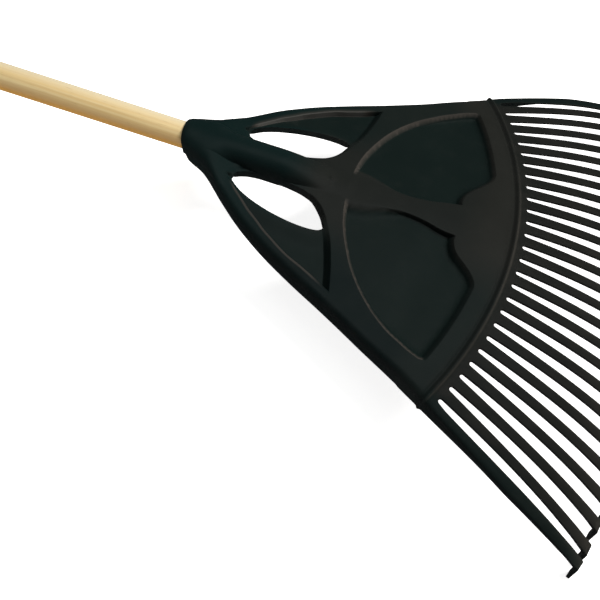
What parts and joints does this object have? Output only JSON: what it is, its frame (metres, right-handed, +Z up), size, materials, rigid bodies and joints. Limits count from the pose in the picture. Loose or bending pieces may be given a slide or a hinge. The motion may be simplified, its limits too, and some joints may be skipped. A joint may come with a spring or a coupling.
{
  "type": "leaf rake",
  "caption": "Leaf rake with a round wooden handle and a fan-shaped moulded plastic head: ribbed socket, eye openings, recessed panels and a comb of long tines hooked at the tips.",
  "frame": {"origin": "middle of the bounding box in X and Y, on the surface the rake lies on", "axes": "+X along the rake from the handle's end to the tines, +Z up with the tine tips pointing down, +Y across the fan"},
  "size_m": [1.6966, 0.6044, 0.0969],
  "materials": {
    "wood": "sanded pale hardwood with a thin clear coat, fine lengthwise grain",
    "black_plastic": "satin moulded polypropylene, almost black",
    "zinc_steel": "zinc-plated"
  },
  "bodies": {
    "root": {"handle": "wood", "rake_head": "black_plastic", "socket_screw": "zinc_steel"}
  },
  "joints": []
}
